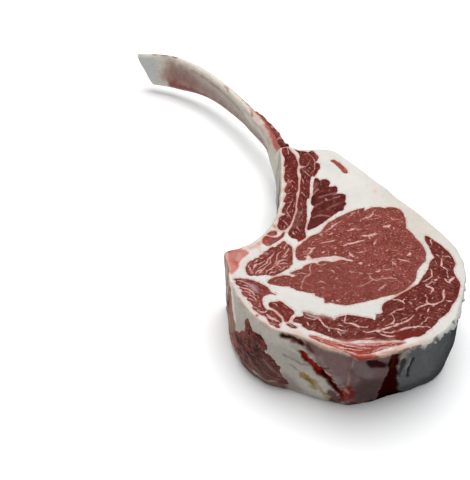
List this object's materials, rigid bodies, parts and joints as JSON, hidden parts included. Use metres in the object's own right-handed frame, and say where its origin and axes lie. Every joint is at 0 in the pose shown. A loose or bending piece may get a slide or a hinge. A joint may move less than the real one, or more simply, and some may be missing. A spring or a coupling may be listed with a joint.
{
  "type": "raw tomahawk steak",
  "caption": "Thick slice of raw beef rib lying flat, muscles set in fat and running through it, with the long curved rib bone left on as a handle.",
  "frame": {"origin": "on the lower cut face, under the middle of the eye muscle", "axes": "+Z out of the upper cut face; +Y from the meat along the slice towards the side where the rib leaves; -Y the side of the rounded fat cap; +X away from the rib"},
  "size_m": [0.2581, 0.4011, 0.056],
  "materials": {
    "eye_lean": "moist cut muscle, brownish red, with short pale marbling",
    "cap_lean": "moist cut muscle, dark red, with branching pale seams",
    "chine_lean": "moist cut muscle, brownish red with wavy pale stripes",
    "flap_lean": "moist cut muscle, streaked red",
    "dark_lean": "moist muscle, deep dark red",
    "rib_lean": "glossy wet muscle, dark red",
    "rim_lean": "moist thin lean, orange red",
    "fat": "firm white fat, softly glossy, greyish membrane on the wall",
    "bone": "scraped cream-white rib bone with brown-red stains",
    "sawn_bone": "sawn spongy bone, salmon pink"
  },
  "bodies": {
    "root": {"eye_muscle": "eye_lean", "cap_muscle": "cap_lean", "chine_muscle": "chine_lean", "flap_muscle": "flap_lean", "flap_knob": "flap_lean", "side_muscle": "dark_lean", "flank_lean": "dark_lean", "upper_rib_lean": "rib_lean", "lower_rib_lean": "rib_lean", "rim_lean": "rim_lean", "lean_fleck": "rim_lean", "outer_lean": "dark_lean", "handle_lean": "rib_lean", "fat_body": "fat", "rib_bone": "bone", "chine_bone": "sawn_bone"}
  },
  "joints": []
}
